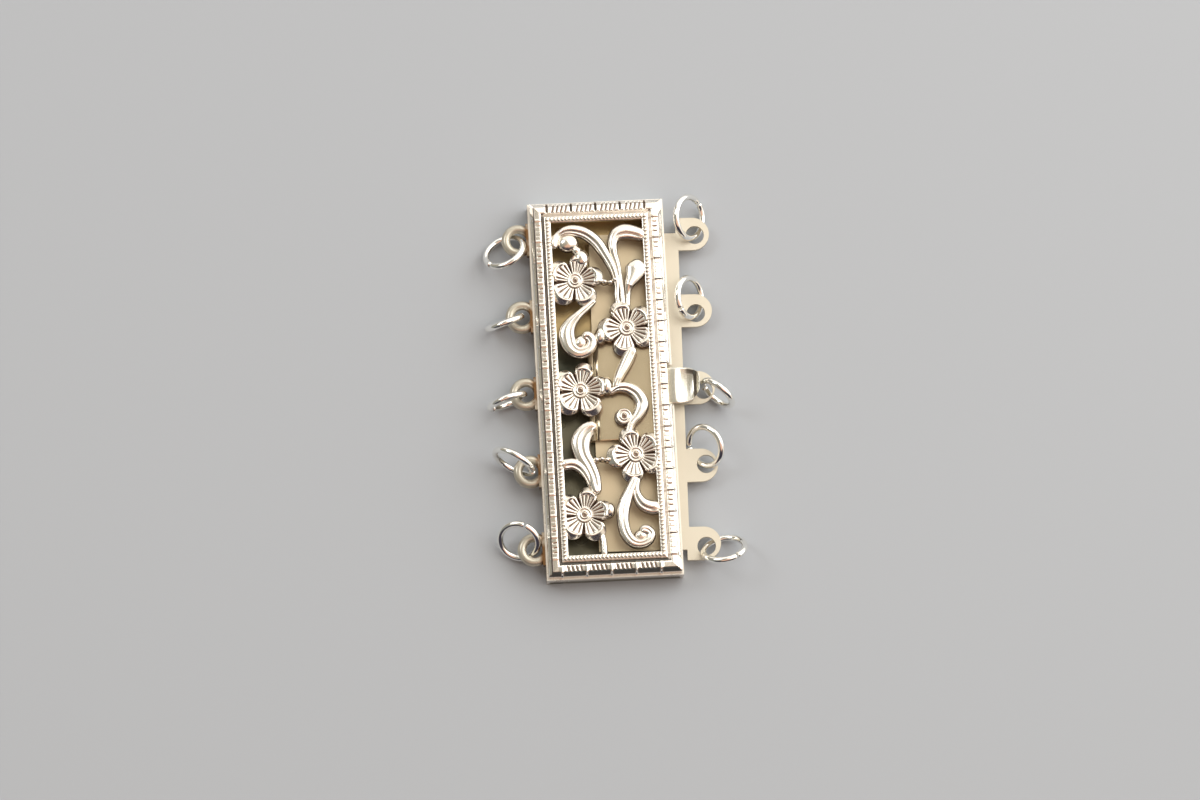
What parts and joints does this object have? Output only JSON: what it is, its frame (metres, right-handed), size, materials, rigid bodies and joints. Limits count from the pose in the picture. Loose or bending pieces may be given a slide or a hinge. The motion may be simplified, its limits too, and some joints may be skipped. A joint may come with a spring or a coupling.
{
  "type": "box clasp",
  "caption": "Slide-in box clasp for several strands: flat case with a cast openwork floral cover, a spring tongue with a thumb tab, and a jump ring in each side loop.",
  "frame": {"origin": "centre of the flat back of the case, on the surface it lies on", "axes": "+X towards the tongue side, +Y along the case, +Z out of the ornamented face"},
  "size_m": [0.0205, 0.0316, 0.004],
  "materials": {
    "cast_silver": "polished cast silver with tarnish in the recesses",
    "matte_silver": "satin sheet silver, warm toned",
    "sheet_silver": "matte warm sheet silver",
    "ring_silver": "bright drawn wire"
  },
  "bodies": {
    "box": {"box_tray": "matte_silver", "filigree_cover": "cast_silver", "jump_ring_l1": "ring_silver", "jump_ring_l2": "ring_silver", "jump_ring_l3": "ring_silver", "jump_ring_l4": "ring_silver", "jump_ring_l5": "ring_silver"},
    "tongue": {"tongue_plate": "sheet_silver", "jump_ring_r1": "ring_silver", "jump_ring_r2": "ring_silver", "jump_ring_r3": "ring_silver", "jump_ring_r4": "ring_silver", "jump_ring_r5": "ring_silver"},
    "leaf": {"spring_leaf": "sheet_silver"}
  },
  "joints": [
    {"name": "tongue_slide", "type": "slide", "parent": "box", "child": "tongue", "axis": [1, 0, 0], "range_m": [0, 0.011], "deforming": ["spring_leaf"]},
    {"name": "leaf_press", "type": "hinge", "parent": "tongue", "child": "leaf", "pos_m": [-0.0009, 0, 0.0013], "axis": [0.0209, 0.9998, 0], "range_deg": [0, 4.6], "stiffness_Nm_per_rad": 0.05}
  ]
}
